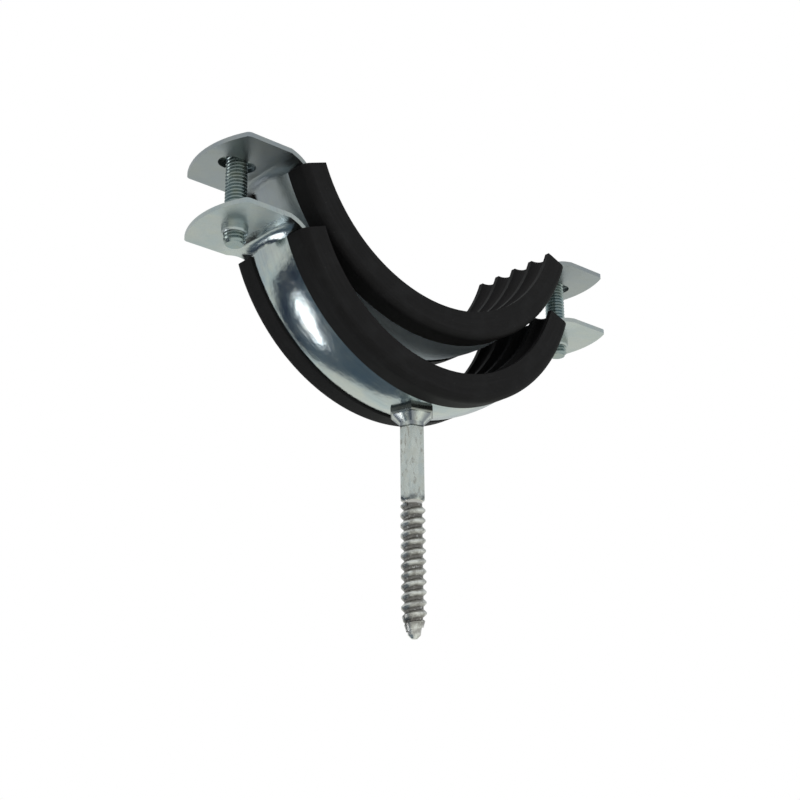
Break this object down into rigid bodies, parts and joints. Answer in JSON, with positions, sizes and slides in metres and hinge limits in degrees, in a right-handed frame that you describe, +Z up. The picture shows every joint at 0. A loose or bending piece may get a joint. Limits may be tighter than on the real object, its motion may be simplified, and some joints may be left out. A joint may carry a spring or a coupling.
{
  "type": "rubber lined pipe clamp",
  "caption": "Two-screw pipe clamp of dished steel half straps with ribbed rubber linings, on a hanger screw with a coarse wood thread.",
  "frame": {"origin": "centre of the lower half's seat arc, midway along the pipe", "axes": "X from the left ear to the right ear, Y along the pipe, +Z up; the hanger screw points along -Z"},
  "size_m": [0.1414, 0.03, 0.1235],
  "materials": {
    "lower_strap_steel": "bright zinc plated",
    "upper_strap_steel": "zinc plated",
    "lining_rubber": "matt black extruded rubber",
    "screw_steel": "zinc plated",
    "hanger_steel": "zinc plated"
  },
  "bodies": {
    "lower_half": {"lower_strap": "lower_strap_steel", "lower_lining": "lining_rubber", "hanger_screw": "hanger_steel"},
    "upper_half": {"upper_strap": "upper_strap_steel", "upper_lining": "lining_rubber"},
    "left_screw": {"left_closing_screw": "screw_steel"},
    "right_screw": {"right_closing_screw": "screw_steel"}
  },
  "joints": [
    {"name": "upper_half_lift", "type": "slide", "parent": "lower_half", "child": "upper_half", "axis": [0, 0, 1], "range_m": [0, 0.004]},
    {"name": "left_screw_turn", "type": "hinge", "parent": "upper_half", "child": "left_screw", "pos_m": [-0.06072, 0, 0], "axis": [0, 0, 1], "range_deg": [0, 1440]},
    {"name": "right_screw_turn", "type": "hinge", "parent": "upper_half", "child": "right_screw", "pos_m": [0.06072, 0, 0], "axis": [0, 0, 1], "range_deg": [0, 1440]}
  ],
  "couplings": [
    {"joint": "left_screw_turn", "follows": "upper_half_lift", "rad_per_m": 6283.2},
    {"joint": "right_screw_turn", "follows": "upper_half_lift", "rad_per_m": 6283.2}
  ]
}
